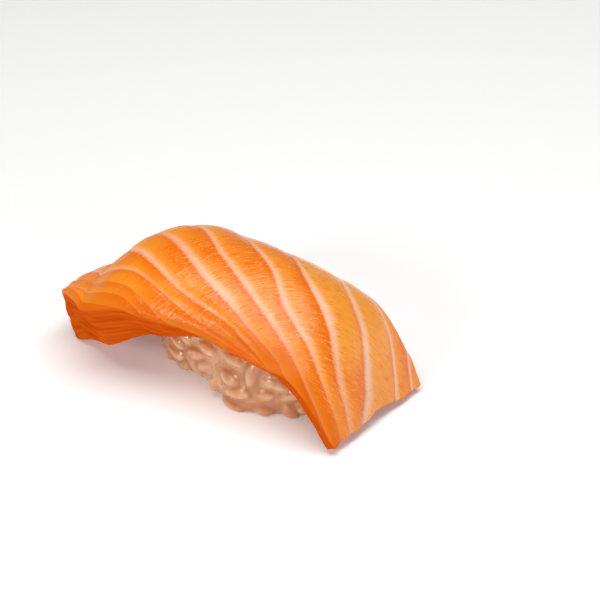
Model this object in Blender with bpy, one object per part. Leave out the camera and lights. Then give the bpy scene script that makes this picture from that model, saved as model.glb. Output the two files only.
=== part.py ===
"""Salmon nigiri: a thick slice of salmon draped over a pressed oblong of rice.

X runs along the slice from its thick end to its thin end, Y runs across it and Z is up. The origin lies
under the middle of the rice, on the surface that the rice stands on. Lengths are in metres.
"""

import math
import random
from collections import namedtuple

import bmesh
import bpy
import numpy as np
from mathutils import Matrix, Vector
from mathutils.bvhtree import BVHTree

MM = 0.001
TINY = 1e-9
SLIVER = 2e-6

# Cross-sections of the slice, from its thick end to its thin end: the share of the length, the place of
# the underside's middle in X, Y and Z, the half widths in front and behind, in millimetres, and how many
# degrees the slice has bent down by at its front and back edges.
Section = namedtuple("Section", "share x y z front back front_bend back_bend")
SECTIONS = (
    Section(0.00, -39.4, -7.5, 1.8, 9.4, 12.9, 1, 64),
    Section(0.11, -31.9, -5.4, 7.4, 14.1, 13.6, 21, 65),
    Section(0.28, -21.3, -3.3, 19.9, 15.2, 14.4, 53, 72),
    Section(0.45, -7.7, -2.5, 23.3, 14.3, 15.4, 66, 84),
    Section(0.62, 7.5, -1.2, 22.5, 16.6, 16.1, 61, 60),
    Section(0.78, 21.4, -1.0, 17.1, 17.6, 16.3, 40, 27),
    Section(0.90, 29.2, -2.8, 8.6, 16.4, 17.6, 17, 10),
    Section(1.00, 33.8, -3.1, 0.3, 16.4, 17.7, 0, 0),
)
SLICE_LENGTH = 92 * MM
THICK_END = 13.5 * MM
THIN_END = 2.0 * MM
THINNING = 1.07

# The front edge is cut at a slant, and square from FRONT_SLANT_END on.
FRONT_SLANT = 0.37
FRONT_SLANT_END = 0.62

# The thick end's cut leans out at its foot, and the thin end's cut bows in and is a little wavy.
THICK_END_LEAN = 6.6 * MM
THIN_END_BOW = 1.5 * MM
THIN_END_WAVE = 0.45 * MM

# The slice's ends hang to just above the surface that the rice stands on, and flatten there.
LOWEST = 0.35 * MM
SETTLE_SOFTNESS = 0.8 * MM

# The flat slice before it is draped: its mean size, the radius of its edges, and how finely it is cut up.
FLAT_SIZE = np.array([SLICE_LENGTH, 32 * MM, 8 * MM])
EDGE_RADIUS = 1.1 * MM
SLICE_CUTS = (42, 18, 3)
TOUCH_GAP = 0.3 * MM

# The pressed rice: a rounded oblong, widest a little above its foot.
RICE_MIDDLE = Vector((1.2 * MM, -1.3 * MM, 6.5 * MM))
RICE_HALF_LENGTH = 26.0 * MM
RICE_HALF_WIDTH = 15.2 * MM
RICE_RISE = 17.2 * MM
RICE_DROP = 11.0 * MM
RICE_PLAN_POWER = 2.3
RICE_SIDE_POWER = 2.6
# Where fingers pushed its front in or out: the place in millimetres, and how far the push reaches and goes.
Push = namedtuple("Push", "x y z reach depth")
RICE_PUSHES = (
    Push(-9.0, -14.5, 2.0, 8.0, 2.6),
    Push(6.0, -16.0, 2.0, 7.0, -2.2),
)
# Its smooth core lies a grain's depth inside that form, and nearly reaches it under the slice.
CORE_DEPTH = 1.8 * MM
CORE_TOP_DEPTH = 0.5 * MM
CORE_SHOULDER = 0.6
CORE_SEGMENTS = 36
CORE_RINGS = 12

# One cooked grain, and how the grains lie on the rice.
GRAIN_HALF_SIZES = Vector((3.3 * MM, 1.85 * MM, 1.7 * MM))
GRAIN_SIDES = 5
GRAIN_RINGS = 4
GRAIN_SINK = 1.15 * MM
GRAIN_ROW_STEP = 3.2 * MM
GRAIN_FIRST_ROW = 1.3 * MM
GRAIN_ROWS = 7
GRAIN_STEP = 5.2 * MM
GRAIN_STRAY = 0.8 * MM
GRAIN_STRAY_TURN = math.radians(3)
GRAIN_SIZE_RANGE = (0.9, 1.08)
GRAIN_CLEAR = 1.0 * MM
GRAIN_SEED = 12
OUTLINE_POINTS = 240

SALMON_COLOUR = (0.86, 0.25, 0.045, 1.0)
SALMON_ROUGHNESS = 0.35
RICE_COLOUR = (0.72, 0.55, 0.42, 1.0)
RICE_ROUGHNESS = 0.4


def clear_scene():
    """Removes every object of the opened scene."""
    for obj in list(bpy.data.objects):
        bpy.data.objects.remove(obj, do_unlink=True)


def new_collection(name):
    """A new collection in the scene."""
    collection = bpy.data.collections.new(name)
    bpy.context.scene.collection.children.link(collection)
    return collection


def new_material(name, colour, roughness):
    """A Principled material with one colour and roughness."""
    material = bpy.data.materials.new(name)
    material.use_nodes = True
    shader = material.node_tree.nodes["Principled BSDF"]
    shader.inputs["Base Color"].default_value = colour
    shader.inputs["Roughness"].default_value = roughness
    shader.inputs["Metallic"].default_value = 0.0
    return material


def object_from(name, bm, collection):
    """A mesh object made from a bmesh, which is freed."""
    mesh = bpy.data.meshes.new(name)
    bm.to_mesh(mesh)
    bm.free()
    obj = bpy.data.objects.new(name, mesh)
    collection.objects.link(obj)
    return obj


def along(name, share):
    """A value of the sections at each share of the length, on a smooth curve through them."""
    places = np.array([section.share for section in SECTIONS])
    values = np.array([getattr(section, name) for section in SECTIONS])
    slopes = np.gradient(values, places)
    index = np.clip(np.searchsorted(places, share) - 1, 0, len(places) - 2)
    span = places[index + 1] - places[index]
    t = (share - places[index]) / span
    start = (1 + 2 * t) * (1 - t) ** 2 * values[index] + t * (1 - t) ** 2 * span * slopes[index]
    end = t**2 * (3 - 2 * t) * values[index + 1] + t**2 * (t - 1) * span * slopes[index + 1]
    return start + end


def middle_line(share):
    """Points of the underside's middle line."""
    return np.stack([along(axis, share) for axis in "xyz"], axis=-1) * MM


def thickness(share):
    """The slice's thickness, which falls from the thick end to the thin end."""
    return THICK_END - (THICK_END - THIN_END) * np.clip(share, 0, 1) ** THINNING


def unit(vectors):
    """Each vector at length one."""
    return vectors / np.linalg.norm(vectors, axis=-1, keepdims=True)


def settled(points):
    """Points pressed up smoothly where they would come lower than LOWEST, as on a board."""
    above = (points[..., 2] - LOWEST) / SETTLE_SOFTNESS
    eased = LOWEST + SETTLE_SOFTNESS * np.logaddexp(0, above)
    return np.concatenate([points[..., :2], eased[..., None]], axis=-1)


def draped(share, across, height):
    """Points of the draped slice.

    share runs along it from 0 to 1, across from -1 at the front edge to 1 at the back edge, and height
    from 0 at the underside to 1 at the top.
    """
    bow = THIN_END_BOW * (1 - across**2) + THIN_END_WAVE * np.sin(7 * across + 1)
    lean = THICK_END_LEAN * (1 - height)
    shift = np.clip(share, 0, 1) ** 6 * bow + np.clip(1 - share, 0, 1) ** 8 * lean
    share = share - shift / SLICE_LENGTH
    front, reach, turned = across < 0, np.abs(across), np.sign(across)
    half_width = np.where(front, along("front", share), along("back", share)) * MM
    bend = np.where(front, along("front_bend", share), along("back_bend", share))
    bend = np.radians(np.maximum(bend, 0)) * reach
    # The cross-section is an arc, so its chord lies at half the angle that it has bent by.
    chord = half_width * reach * np.sinc(bend / 2 / math.pi)
    slant = FRONT_SLANT * np.sin(math.pi * np.clip(share / FRONT_SLANT_END, 0, 1))
    slant = np.where(front, slant * (1 - height) * reach**4, 0) * thickness(share)
    forward = unit(middle_line(share + 0.005) - middle_line(share - 0.005))
    side = unit(np.array([0.0, 1.0, 0.0]) - forward * forward[..., 1:2])
    normal = np.cross(forward, side)
    sideways = turned * (chord * np.cos(bend / 2) + slant * np.cos(bend))
    upward = -chord * np.sin(bend / 2) - slant * np.sin(bend)
    facing = normal * np.cos(bend)[..., None] + side * (turned * np.sin(bend))[..., None]
    point = middle_line(share) + side * sideways[..., None] + normal * upward[..., None]
    return settled(point + facing * (thickness(share) * height)[..., None])


def box_lattice(cuts):
    """A cube from -1 to 1, each side divided evenly into as many strips as cuts gives."""
    bm = bmesh.new()
    bmesh.ops.create_cube(bm, size=2.0)
    for axis, count in enumerate(cuts):
        lines = [
            edge
            for edge in bm.edges
            if abs(edge.verts[0].co[axis] - edge.verts[1].co[axis]) > 1.0
        ]
        bmesh.ops.subdivide_edges(bm, edges=lines, cuts=count - 1, use_grid_fill=True)
    return bm


def slice_object(name, collection, grow=0.0):
    """The draped slice as one closed mesh, larger on every side by the length grow."""
    bm = box_lattice(SLICE_CUTS)
    half_size = FLAT_SIZE / 2
    flat = np.array([vert.co for vert in bm.verts]) * half_size
    inner = np.clip(flat, EDGE_RADIUS - half_size, half_size - EDGE_RADIUS)
    outward = flat - inner
    reach = np.maximum(np.linalg.norm(outward, axis=1, keepdims=True), TINY)
    box = (inner + outward / reach * np.minimum(reach, EDGE_RADIUS)) / half_size
    share = (box[:, 0] * (1 + grow / half_size[0]) + 1) / 2
    across = box[:, 1] * (1 + grow / half_size[1])
    height = (box[:, 2] * (1 + 2 * grow / thickness(share)) + 1) / 2
    for vert, point in zip(bm.verts, draped(share, across, height)):
        vert.co = point
    return object_from(name, bm, collection)


def pushed_in(point):
    """How far the rice is pushed in at a point of its outer form."""
    total = 0.0
    for push in RICE_PUSHES:
        distance = (point - Vector((push.x, push.y, push.z)) * MM).length
        total += push.depth * MM * math.exp(-((distance / (push.reach * MM)) ** 2))
    return total


def rice_point(turn, height):
    """The point of the rice's outer form at this turn about it and this height, and its outward normal."""
    rise = height - RICE_MIDDLE.z
    level = min(abs(rise / (RICE_RISE if rise > 0 else RICE_DROP)), 0.999)
    shrink = (1 - level**RICE_SIDE_POWER) ** (1 / RICE_SIDE_POWER)
    power = 2 / RICE_PLAN_POWER
    x = math.copysign(abs(math.cos(turn)) ** power, math.cos(turn)) * shrink
    y = math.copysign(abs(math.sin(turn)) ** power, math.sin(turn)) * shrink
    point = Vector((RICE_HALF_LENGTH * x, RICE_HALF_WIDTH * y, rise)) + RICE_MIDDLE
    plan = (abs(x) ** RICE_PLAN_POWER + abs(y) ** RICE_PLAN_POWER) ** (1 / RICE_PLAN_POWER)
    flat = plan ** (RICE_SIDE_POWER - RICE_PLAN_POWER)
    normal = Vector(
        (
            flat * math.copysign(abs(x) ** (RICE_PLAN_POWER - 1), x) / RICE_HALF_LENGTH,
            flat * math.copysign(abs(y) ** (RICE_PLAN_POWER - 1), y) / RICE_HALF_WIDTH,
            math.copysign(level ** (RICE_SIDE_POWER - 1), rise)
            / (RICE_RISE if rise > 0 else RICE_DROP),
        )
    )
    normal.normalize()
    return point - normal * pushed_in(point), normal


def rice_core(name, collection):
    """The rice's smooth inside: a sphere pressed into the outer form, less the depth of its grains."""
    bm = bmesh.new()
    bmesh.ops.create_uvsphere(bm, u_segments=CORE_SEGMENTS, v_segments=CORE_RINGS, radius=1.0)
    for vert in bm.verts:
        turn = math.atan2(vert.co.y, vert.co.x)
        rise = vert.co.z * (RICE_RISE if vert.co.z > 0 else RICE_DROP)
        point, normal = rice_point(turn, RICE_MIDDLE.z + rise)
        depth = CORE_DEPTH if vert.co.z < CORE_SHOULDER else CORE_TOP_DEPTH
        vert.co = point - normal * depth
    return object_from(name, bm, collection)


def grain_object(name, collection, place, normal, heading, size):
    """One cooked grain: a long rounded lozenge that lies on the rice's surface."""
    bm = bmesh.new()
    bmesh.ops.create_uvsphere(bm, u_segments=GRAIN_SIDES, v_segments=GRAIN_RINGS, radius=1.0)
    # The sphere's poles point along Z, and the grain is longest along its own Z.
    length = normal.orthogonal().normalized()
    length.rotate(Matrix.Rotation(heading, 3, normal))
    width = normal.cross(length)
    half = GRAIN_HALF_SIZES * size
    for vert in bm.verts:
        along_grain = length * (vert.co.z * half.x)
        over_grain = width * (vert.co.x * half.y) + normal * (vert.co.y * half.z)
        vert.co = place + along_grain + over_grain
    bmesh.ops.recalc_face_normals(bm, faces=bm.faces)
    return object_from(name, bm, collection)


def even_turns(height, offset):
    """Turns about the rice at this height that lie a grain's step apart along its outline."""
    turns = [math.tau * i / OUTLINE_POINTS for i in range(OUTLINE_POINTS + 1)]
    points = [rice_point(turn, height)[0] for turn in turns]
    ways = [0.0]
    for start, end in zip(points, points[1:]):
        ways.append(ways[-1] + (end - start).length)
    count = round(ways[-1] / GRAIN_STEP)
    wanted = [(i + offset) % count / count * ways[-1] for i in range(count)]
    return [float(np.interp(way, ways, turns)) for way in wanted]


def grains_on(salmon, collection):
    """Grains in uneven rows round the rice, none where the slice lies on it."""
    draw = random.Random(GRAIN_SEED)
    tree = BVHTree.FromObject(salmon, bpy.context.evaluated_depsgraph_get())
    for row in range(GRAIN_ROWS):
        height = GRAIN_FIRST_ROW + row * GRAIN_ROW_STEP
        for turn in even_turns(height, 0.5 * (row % 2)):
            turn += draw.uniform(-1, 1) * GRAIN_STRAY_TURN
            level = height + draw.uniform(-1, 1) * GRAIN_STRAY
            point, normal = rice_point(turn, level)
            place = point - normal * (GRAIN_SINK + draw.uniform(-1, 1) * GRAIN_STRAY / 2)
            heading = draw.uniform(0, math.pi)
            size = draw.uniform(*GRAIN_SIZE_RANGE)
            distance = tree.find_nearest(place)[3]
            if distance > GRAIN_CLEAR:
                grain_object("grain", collection, place, normal, heading, size)


def apply_boolean(obj, operation, operand):
    """Joins or cuts with an object or a collection, and keeps the result as the object's mesh."""
    modifier = obj.modifiers.new("boolean", "BOOLEAN")
    modifier.operation = operation
    modifier.solver = "EXACT"
    if isinstance(operand, bpy.types.Collection):
        modifier.operand_type = "COLLECTION"
        modifier.collection = operand
    else:
        modifier.object = operand
    graph = bpy.context.evaluated_depsgraph_get()
    mesh = bpy.data.meshes.new_from_object(obj.evaluated_get(graph))
    obj.modifiers.clear()
    obj.data = mesh


def keep_one_body(obj):
    """Keeps the largest connected surface, so that sealed hollows are filled and scraps are dropped."""
    bm = bmesh.new()
    bm.from_mesh(obj.data)
    bmesh.ops.triangulate(bm, faces=bm.faces)
    bmesh.ops.dissolve_degenerate(bm, dist=SLIVER, edges=bm.edges)
    left = set(bm.verts)
    surfaces = []
    while left:
        found = {left.pop()}
        front = list(found)
        while front:
            vert = front.pop()
            for edge in vert.link_edges:
                other = edge.other_vert(vert)
                if other not in found:
                    found.add(other)
                    front.append(other)
        left -= found
        surfaces.append(found)
    largest = max(surfaces, key=len)
    loose = [vert for vert in bm.verts if vert not in largest]
    bmesh.ops.delete(bm, geom=loose, context="VERTS")
    bmesh.ops.triangulate(bm, faces=bm.faces)
    bm.to_mesh(obj.data)
    bm.free()


def floor_cutter(collection):
    """A box below the surface that the rice stands on."""
    bm = bmesh.new()
    bmesh.ops.create_cube(bm, size=SLICE_LENGTH)
    bmesh.ops.translate(bm, verts=bm.verts, vec=(0, 0, -SLICE_LENGTH / 2))
    return object_from("floor_cutter", bm, collection)


def finish(obj, material):
    """Gives an object its material and smooth shading."""
    obj.data.materials.clear()
    obj.data.materials.append(material)
    obj.data.shade_smooth()


def build():
    """Makes the rice and the slice."""
    clear_scene()
    parts = new_collection("salmon_nigiri")
    cutters = new_collection("cutters")
    grains = new_collection("grains")

    salmon = slice_object("salmon", parts)
    rice = rice_core("rice", parts)
    grains_on(salmon, grains)
    apply_boolean(rice, "UNION", grains)
    for grain in list(grains.objects):
        bpy.data.objects.remove(grain, do_unlink=True)

    for cutter in (slice_object("slice_cutter", cutters, TOUCH_GAP), floor_cutter(cutters)):
        apply_boolean(rice, "DIFFERENCE", cutter)
        cutter.hide_render = True
        cutter.display_type = "WIRE"
    keep_one_body(rice)

    finish(salmon, new_material("salmon_flesh", SALMON_COLOUR, SALMON_ROUGHNESS))
    finish(rice, new_material("cooked_rice", RICE_COLOUR, RICE_ROUGHNESS))


build()
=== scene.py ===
"""Salmon nigiri: the slice with its relief and fat lines, and the real grains of its rice.

X runs along the slice from its thick end to its thin end, Y runs across it to the back and Z is up. The
origin lies under the middle of the rice. Lengths are in metres, and those of the flat slice in millimetres.
"""

from __future__ import annotations

import logging
import math
import random
from dataclasses import dataclass
from dataclasses import field
from enum import Enum
from typing import Any

import bpy
import numpy as np
from mathutils import Matrix
from mathutils import Vector
from mathutils import noise
from mathutils.bvhtree import BVHTree
from mathutils.kdtree import KDTree


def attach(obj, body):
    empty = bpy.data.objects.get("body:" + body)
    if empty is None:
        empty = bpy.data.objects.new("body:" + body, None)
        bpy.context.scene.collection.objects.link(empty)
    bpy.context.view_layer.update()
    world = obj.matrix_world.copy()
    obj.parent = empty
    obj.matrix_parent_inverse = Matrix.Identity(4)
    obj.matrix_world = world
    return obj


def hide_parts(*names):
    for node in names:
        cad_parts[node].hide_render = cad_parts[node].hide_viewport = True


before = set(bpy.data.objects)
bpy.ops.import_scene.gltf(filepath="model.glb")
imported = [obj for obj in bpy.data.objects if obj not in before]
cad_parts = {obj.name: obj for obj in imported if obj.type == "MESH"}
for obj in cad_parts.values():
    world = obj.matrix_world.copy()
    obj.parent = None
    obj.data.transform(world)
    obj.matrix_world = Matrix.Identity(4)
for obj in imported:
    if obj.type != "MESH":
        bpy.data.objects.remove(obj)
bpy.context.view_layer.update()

MM = 0.001
TINY = 1e-9
BODY = "root"
NIGIRI_MIDDLE = (0.0, 0.0, 0.015)

log = logging.getLogger("salmon_nigiri")

Span = tuple[float, float]
Size = tuple[float, float, float]
Colour = tuple[float, float, float]
Six = tuple[float, float, float, float, float, float]
Socket = bpy.types.NodeSocket


class Slot(Enum):
    """The record's material slots."""

    RICE = "cooked_rice"
    SALMON = "salmon_flesh"


class CadNode(Enum):
    """The solids that the pieces stand for."""

    RICE = "rice"
    SALMON = "salmon"


def linear(colour: Colour) -> tuple[float, float, float, float]:
    """A colour of 0 to 255, as a screen shows it, as linear light with full alpha.

    Args:
        colour: Red, green and blue from 0 to 255.

    Returns:
        The four numbers that a colour socket takes.
    """
    shares = [channel / 255 for channel in colour]
    made = [share / 12.92 if share <= 0.04045 else ((share + 0.055) / 1.055) ** 2.4 for share in shares]
    return (made[0], made[1], made[2], 1.0)


def unit(vectors: np.ndarray) -> np.ndarray:
    """Each vector at length one."""
    return vectors / np.maximum(np.linalg.norm(vectors, axis=-1, keepdims=True), TINY)


def smooth_step(value: np.ndarray, low: float, high: float) -> np.ndarray:
    """A smooth rise from 0 at low to 1 at high.

    Args:
        value: The numbers to map.
        low: Where the rise starts.
        high: Where it ends.

    Returns:
        The mapped numbers.
    """
    share = np.clip((value - low) / (high - low), 0, 1)
    return share * share * (3 - 2 * share)


def at_least(least: float, share: np.ndarray) -> np.ndarray:
    """A share of 0 to 1, raised to run from a least value to 1."""
    return least + (1 - least) * share


def smooth_curve(places: np.ndarray, values: np.ndarray, wanted: np.ndarray) -> np.ndarray:
    """A smooth curve through given values.

    Args:
        places: Where the values are given, from low to high.
        values: The value at each place.
        wanted: Where the curve is read.

    Returns:
        The curve's value at each wanted place, straight on beyond the ends.
    """
    slopes = np.gradient(values, places)
    inside = np.clip(wanted, places[0], places[-1])
    index = np.clip(np.searchsorted(places, inside) - 1, 0, len(places) - 2)
    span = places[index + 1] - places[index]
    t = (inside - places[index]) / span
    start = (1 + 2 * t) * (1 - t) ** 2 * values[index] + t * (1 - t) ** 2 * span * slopes[index]
    end = t**2 * (3 - 2 * t) * values[index + 1] + t**2 * (t - 1) * span * slopes[index + 1]
    beyond = np.where(wanted > inside, slopes[-1], slopes[0]) * (wanted - inside)
    return start + end + beyond


def ripple(points: np.ndarray, size: float, seed: float) -> np.ndarray:
    """Even, smooth unevenness.

    Args:
        points: Where it is read, in any unit.
        size: How wide one bump is, in that unit.
        seed: Which of many patterns to take.

    Returns:
        A number of about -1 to 1 for each point.
    """
    offset = Vector((seed, 2 * seed, -seed))
    return np.array([noise.noise(Vector(point) / size + offset) for point in points])


def nearest_numbers(points: np.ndarray, among: np.ndarray) -> np.ndarray:
    """For each point the number of the nearest one among others.

    Args:
        points: The points to start from.
        among: The points to choose from.

    Returns:
        One row number of the others for each point.
    """
    tree = KDTree(len(among))
    for number, point in enumerate(among):
        tree.insert(point, number)
    tree.balance()
    return np.array([tree.find(point)[1] for point in points])


def box_shell(counts: tuple[int, int, int]) -> tuple[np.ndarray, np.ndarray]:
    """The surface of a block of cells.

    Args:
        counts: How many cells the block has along each axis.

    Returns:
        The points, from -1 to 1 on each axis, and the corners of each square, with its outside up.
    """
    sizes = [count + 1 for count in counts]
    grid = np.indices(sizes)
    edge = np.zeros(sizes, bool)
    for axis, size in enumerate(sizes):
        edge |= (grid[axis] == 0) | (grid[axis] == size - 1)
    number = np.full(sizes, -1)
    number[edge] = np.arange(edge.sum())
    points = np.stack([grid[axis][edge] / counts[axis] * 2 - 1 for axis in range(3)], axis=-1)
    squares = []
    for axis in range(3):
        for last in (False, True):
            side = np.take(number, -1 if last else 0, axis=axis)
            corners = [side[:-1, :-1], side[1:, :-1], side[1:, 1:], side[:-1, 1:]]
            if last == (axis == 1):
                corners.reverse()
            squares.append(np.stack([corner.ravel() for corner in corners], axis=-1))
    return points, np.concatenate(squares)


def mesh_object(name: str, points: np.ndarray, faces: np.ndarray) -> bpy.types.Object:
    """A smooth-shaded mesh object in the scene.

    Args:
        name: The piece's name.
        points: Its points in metres.
        faces: The point numbers of each face.

    Returns:
        The new object.
    """
    mesh = bpy.data.meshes.new(name)
    mesh.from_pydata(points.tolist(), [], faces.tolist())
    mesh.update()
    mesh.shade_smooth()
    piece = bpy.data.objects.new(name, mesh)
    bpy.context.scene.collection.objects.link(piece)
    return piece


def read_vectors(items: bpy.types.bpy_prop_collection, name: str) -> np.ndarray:
    """One vector for each item of a mesh, such as the places of its points.

    Args:
        items: The mesh's points or their directions.
        name: What is read of each.

    Returns:
        One row for each item.
    """
    values = np.empty(len(items) * 3)
    items.foreach_get(name, values)
    return values.reshape(-1, 3)


def move_points(mesh: bpy.types.Mesh, points: np.ndarray) -> None:
    """Moves the points of a mesh.

    Args:
        mesh: The mesh.
        points: Each point's new place in metres.
    """
    mesh.vertices.foreach_set("co", points.ravel())
    mesh.update()


def write_attribute(piece: bpy.types.Object, name: str, values: np.ndarray) -> None:
    """Keeps one number or vector for each point of a mesh.

    Args:
        piece: The mesh object.
        name: The attribute's name, which the finish reads.
        values: One number or one vector for each point.
    """
    is_vector = values.ndim == 2
    kind = "FLOAT_VECTOR" if is_vector else "FLOAT"
    attribute = piece.data.attributes.new(name, kind, "POINT")
    attribute.data.foreach_set("vector" if is_vector else "value", values.astype(np.float32).ravel())


def settle_piece(piece: bpy.types.Object, material: bpy.types.Material, node: CadNode) -> None:
    """Gives a piece its finish and its place in the model.

    Args:
        piece: The finished mesh object.
        material: Its finish.
        node: The solid that the piece stands for.
    """
    piece.data.materials.clear()
    piece.data.materials.append(material)
    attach(piece, BODY)
    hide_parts(node.value)


class FinishNodes:
    """Adds and joins the shader nodes of one finish."""

    def __init__(self, name: str) -> None:
        """Starts a finish with one Principled shader.

        Args:
            name: The material's name.
        """
        self.material = bpy.data.materials.new(name)
        self.material.use_nodes = True
        self.tree = self.material.node_tree
        self.shader = self.tree.nodes["Principled BSDF"]

    def feed(self, socket: Socket, value: Any) -> None:
        """Joins a socket to another one, or sets its own number or colour.

        Args:
            socket: The input to feed.
            value: An output socket, or a plain value.
        """
        if isinstance(value, Socket):
            self.tree.links.new(value, socket)
        else:
            socket.default_value = value

    def set(self, **values: Any) -> None:
        """Feeds the shader's sockets, named with _ for each space.

        Args:
            **values: Socket names and what feeds them.
        """
        for name, value in values.items():
            self.feed(self.shader.inputs[name.replace("_", " ")], value)

    def attribute(self, name: str, output: str = "Fac") -> Socket:
        """What the mesh keeps for each point under a name.

        Args:
            name: The attribute's name.
            output: Fac for a number, or Vector.

        Returns:
            The value's socket.
        """
        node = self.tree.nodes.new("ShaderNodeAttribute")
        node.attribute_name = name
        return node.outputs[output]

    def sum(self, operation: str, first: Any, second: Any = 0.0, third: Any = 0.0) -> Socket:
        """One sum of up to three numbers.

        Args:
            operation: The Math node's name for it.
            first: A socket or a number.
            second: A socket or a number.
            third: A socket or a number, for a sum that takes three.

        Returns:
            The result's socket.
        """
        node = self.tree.nodes.new("ShaderNodeMath")
        node.operation = operation
        for socket, value in zip(node.inputs, (first, second, third)):
            self.feed(socket, value)
        return node.outputs[0]

    def times(self, first: Any, second: Any) -> Socket:
        """The product of two numbers."""
        return self.sum("MULTIPLY", first, second)

    def centred(self, pattern: Socket, spread: float) -> Socket:
        """A pattern of 0 to 1, spread evenly about zero."""
        return self.sum("MULTIPLY_ADD", pattern, spread, -spread / 2)

    def rise(self, value: Any, low: Any, high: Any, start: Any = 0.0, end: Any = 1.0) -> Socket:
        """A smooth change from start, where the value is low, to end, where it is high.

        Args:
            value: What is read.
            low: The value at the start.
            high: The value at the end.
            start: The result at and below low.
            end: The result at and above high.

        Returns:
            The result's socket.
        """
        node = self.tree.nodes.new("ShaderNodeMapRange")
        node.interpolation_type = "SMOOTHSTEP"
        names = ("Value", "From Min", "From Max", "To Min", "To Max")
        for name, given in zip(names, (value, low, high, start, end)):
            self.feed(node.inputs[name], given)
        return node.outputs["Result"]

    def blend(self, share: Any, first: Any, second: Any) -> Socket:
        """A mix of two colours.

        Args:
            share: How much of the second there is, from 0 to 1.
            first: A socket, or a colour of 0 to 255.
            second: A socket, or a colour of 0 to 255.

        Returns:
            The mixed colour's socket.
        """
        node = self.tree.nodes.new("ShaderNodeMix")
        node.data_type = "RGBA"
        self.feed(node.inputs[0], share)
        for number, colour in ((6, first), (7, second)):
            self.feed(node.inputs[number], linear(colour) if isinstance(colour, tuple) else colour)
        return node.outputs[2]

    def stretched(self, vector: Socket, sizes: Size, turn: float = 0.0) -> Socket:
        """Places turned about Z and divided by a size on each axis, so that a pattern has those sizes.

        Args:
            vector: The places.
            sizes: How large the pattern's bumps are on each turned axis.
            turn: How far the first axis turns from X towards Y, in degrees.

        Returns:
            The changed places' socket.
        """
        node = self.tree.nodes.new("ShaderNodeMapping")
        node.vector_type = "TEXTURE"
        self.feed(node.inputs["Vector"], vector)
        node.inputs["Rotation"].default_value = (0.0, 0.0, math.radians(turn))
        node.inputs["Scale"].default_value = sizes
        return node.outputs["Vector"]

    def mottle(self, vector: Socket, detail: float = 2.0, roughness: float = 0.5) -> Socket:
        """Soft noise from 0 to 1.

        Args:
            vector: The places, scaled to the size of its bumps.
            detail: How many finer layers it has.
            roughness: How strong they are.

        Returns:
            The noise's socket.
        """
        node = self.tree.nodes.new("ShaderNodeTexNoise")
        self.feed(node.inputs["Vector"], vector)
        node.inputs["Scale"].default_value = 1.0
        node.inputs["Detail"].default_value = detail
        node.inputs["Roughness"].default_value = roughness
        return node.outputs["Fac"]

    def bump(self, height: Any, depth: float, strength: Any = 1.0, under: Any = None) -> Socket:
        """A bumped surface direction.

        Args:
            height: The bumps, from 0 to 1.
            depth: How deep they are, in metres.
            strength: How much of them shows, from 0 to 1.
            under: A bumped direction that this one adds to.

        Returns:
            The direction's socket.
        """
        node = self.tree.nodes.new("ShaderNodeBump")
        node.inputs["Distance"].default_value = depth
        self.feed(node.inputs["Strength"], strength)
        self.feed(node.inputs["Height"], height)
        if under is not None:
            self.feed(node.inputs["Normal"], under)
        return node.outputs["Normal"]


@dataclass(frozen=True)
class CrossSection:
    """One cross-section of the draped slice, in millimetres and degrees."""

    share: float
    x: float
    y: float
    z: float
    front: float
    back: float
    front_bend: float
    back_bend: float


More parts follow.
